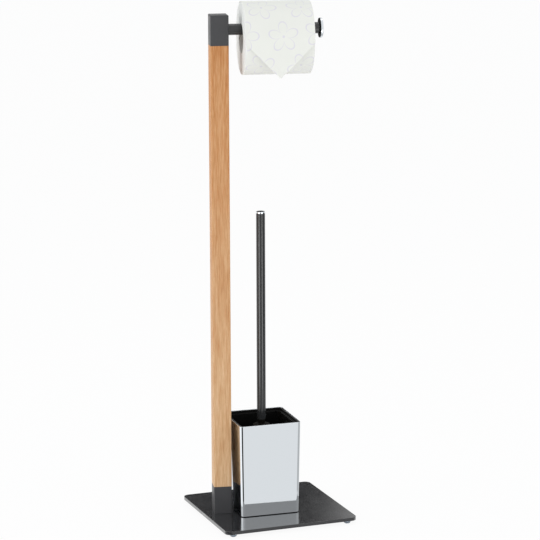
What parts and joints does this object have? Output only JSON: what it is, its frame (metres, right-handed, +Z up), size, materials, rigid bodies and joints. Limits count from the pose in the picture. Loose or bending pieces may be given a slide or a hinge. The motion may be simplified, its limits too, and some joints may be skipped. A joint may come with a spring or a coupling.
{
  "type": "toilet roll and brush stand",
  "caption": "Free-standing toilet roll and brush stand: square wooden post on a flat base plate, round roll arm with end disc, tapered chrome brush pot with liner, brush and paper roll.",
  "frame": {"origin": "on the floor, under the middle of the base plate", "axes": "+X to the right along the base plate's front edge, towards the free end of the roll arm; -Y towards the viewer, to the side where the loose sheet hangs; +Z up"},
  "size_m": [0.201, 0.195, 0.7521],
  "materials": {
    "plate_coat": "satin anthracite powder coat",
    "post_coat": "matt anthracite powder coat",
    "arm_coat": "semi-gloss anthracite coat",
    "oak": "light oak, matt lacquer",
    "chrome": "polished",
    "zinc": "zinc plated",
    "brass": "turned",
    "foot_rubber": "translucent soft plastic",
    "pad_rubber": "matt",
    "liner_plastic": "satin",
    "brush_plastic": "semi-gloss",
    "bristle": "satin filament",
    "tissue": "soft embossed tissue with a pale printed pattern",
    "card": "grey-brown core board"
  },
  "bodies": {
    "stand": {"base_plate": "plate_coat", "feet": "foot_rubber", "post_bolt": "zinc", "lower_insert": "brass", "post_socket": "post_coat", "wood_post": "oak", "post_head": "post_coat", "arm_insert": "brass", "arm_stud": "zinc", "arm_root_plug": "zinc", "arm_tube": "arm_coat", "arm_end_plug": "zinc", "arm_flange": "arm_coat", "arm_end_disc": "chrome", "holder_pad": "pad_rubber", "holder_screw": "zinc", "holder_washer": "zinc", "holder_nut": "zinc", "holder_shell": "chrome"},
    "liner": {"holder_liner": "liner_plastic"},
    "brush": {"handle_cap": "chrome", "handle_tube": "arm_coat", "handle_plug": "zinc", "brush_stud": "zinc", "brush_head": "brush_plastic", "brush_bristles": "bristle"},
    "roll": {"roll_core": "card", "roll_paper": "tissue", "roll_tail": "tissue"}
  },
  "joints": [
    {"name": "roll_spin", "type": "hinge", "parent": "stand", "child": "roll", "pos_m": [0.00624, -0.01524, 0.6998], "axis": [0.9781, -0.2079, 0], "continuous": true},
    {"name": "liner_lift", "type": "slide", "parent": "stand", "child": "liner", "axis": [0, 0, 1], "range_m": [0, 0.028]},
    {"name": "brush_lift", "type": "slide", "parent": "liner", "child": "brush", "axis": [0, 0, 1], "range_m": [0, 0.13]}
  ]
}
